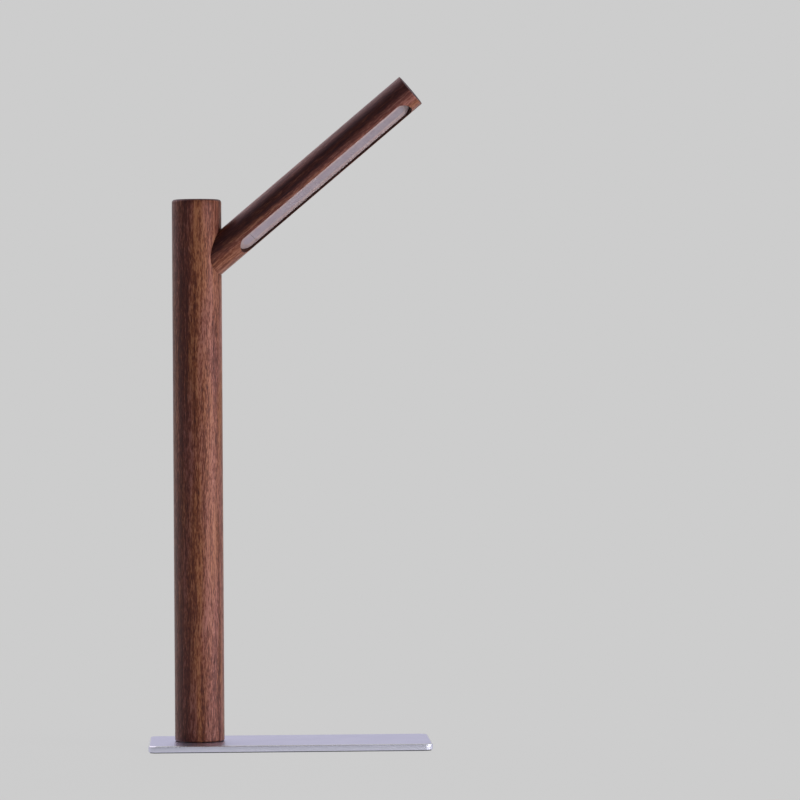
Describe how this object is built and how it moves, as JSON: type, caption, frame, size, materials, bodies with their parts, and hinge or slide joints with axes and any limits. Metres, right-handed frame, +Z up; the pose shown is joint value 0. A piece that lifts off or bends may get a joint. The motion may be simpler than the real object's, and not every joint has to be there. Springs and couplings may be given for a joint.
{
  "type": "led desk lamp",
  "caption": "Walnut desk lamp: turned post on a thin aluminium plate, with a plug-in round arm that holds a recessed strip light.",
  "frame": {"origin": "centre of the underside of the base pad, on the surface that the lamp stands on", "axes": "+X along the plate towards the arm's free end, +Y to the back, away from the side that the light faces, +Z up"},
  "size_m": [0.182, 0.076, 0.4319],
  "materials": {
    "walnut": "oiled, satin",
    "satin_aluminium": "bead-blasted, clear anodised",
    "polished_steel": "polished",
    "nickel": "nickel plated",
    "brass": "turned",
    "black_plastic": "moulded",
    "opal_acrylic": "satin opal",
    "board_white": "white solder mask",
    "led_package": "phosphor in white package",
    "wire_sleeve": "pvc sleeve",
    "eva_pad": "foam sheet"
  },
  "bodies": {
    "stand": {"base_pad": "eva_pad", "base_plate": "satin_aluminium", "post_bolt": "polished_steel", "post_insert": "brass", "post": "walnut", "socket_plate": "polished_steel", "socket_screws": "polished_steel", "jack_shell": "nickel", "jack_nut": "nickel", "jack_cup": "black_plastic", "jack_pin": "nickel", "jack_lugs": "nickel", "inlet_shell": "nickel", "inlet_cup": "black_plastic", "inlet_pin": "nickel", "inlet_lugs": "nickel", "post_wires": "wire_sleeve"},
    "magnet": {"magnet_ring": "nickel"},
    "arm": {"arm_body": "walnut", "plug_holder": "brass", "plug_barrel": "nickel", "plug_insulator": "black_plastic", "plug_contact": "nickel", "arm_wires": "wire_sleeve", "led_channel": "satin_aluminium", "channel_screws": "polished_steel", "led_board": "board_white", "leds": "led_package", "touch_spring": "polished_steel", "touch_key": "opal_acrylic", "diffuser": "opal_acrylic"}
  },
  "joints": [
    {"name": "arm_pull", "type": "slide", "parent": "stand", "child": "magnet", "axis": [0.7599, -0.1204, 0.6388], "range_m": [0, 0.06]},
    {"name": "arm_swivel", "type": "hinge", "parent": "magnet", "child": "arm", "pos_m": [-0.0583, 0, 0.3075], "axis": [0.7599, -0.1204, 0.6388], "continuous": true}
  ]
}
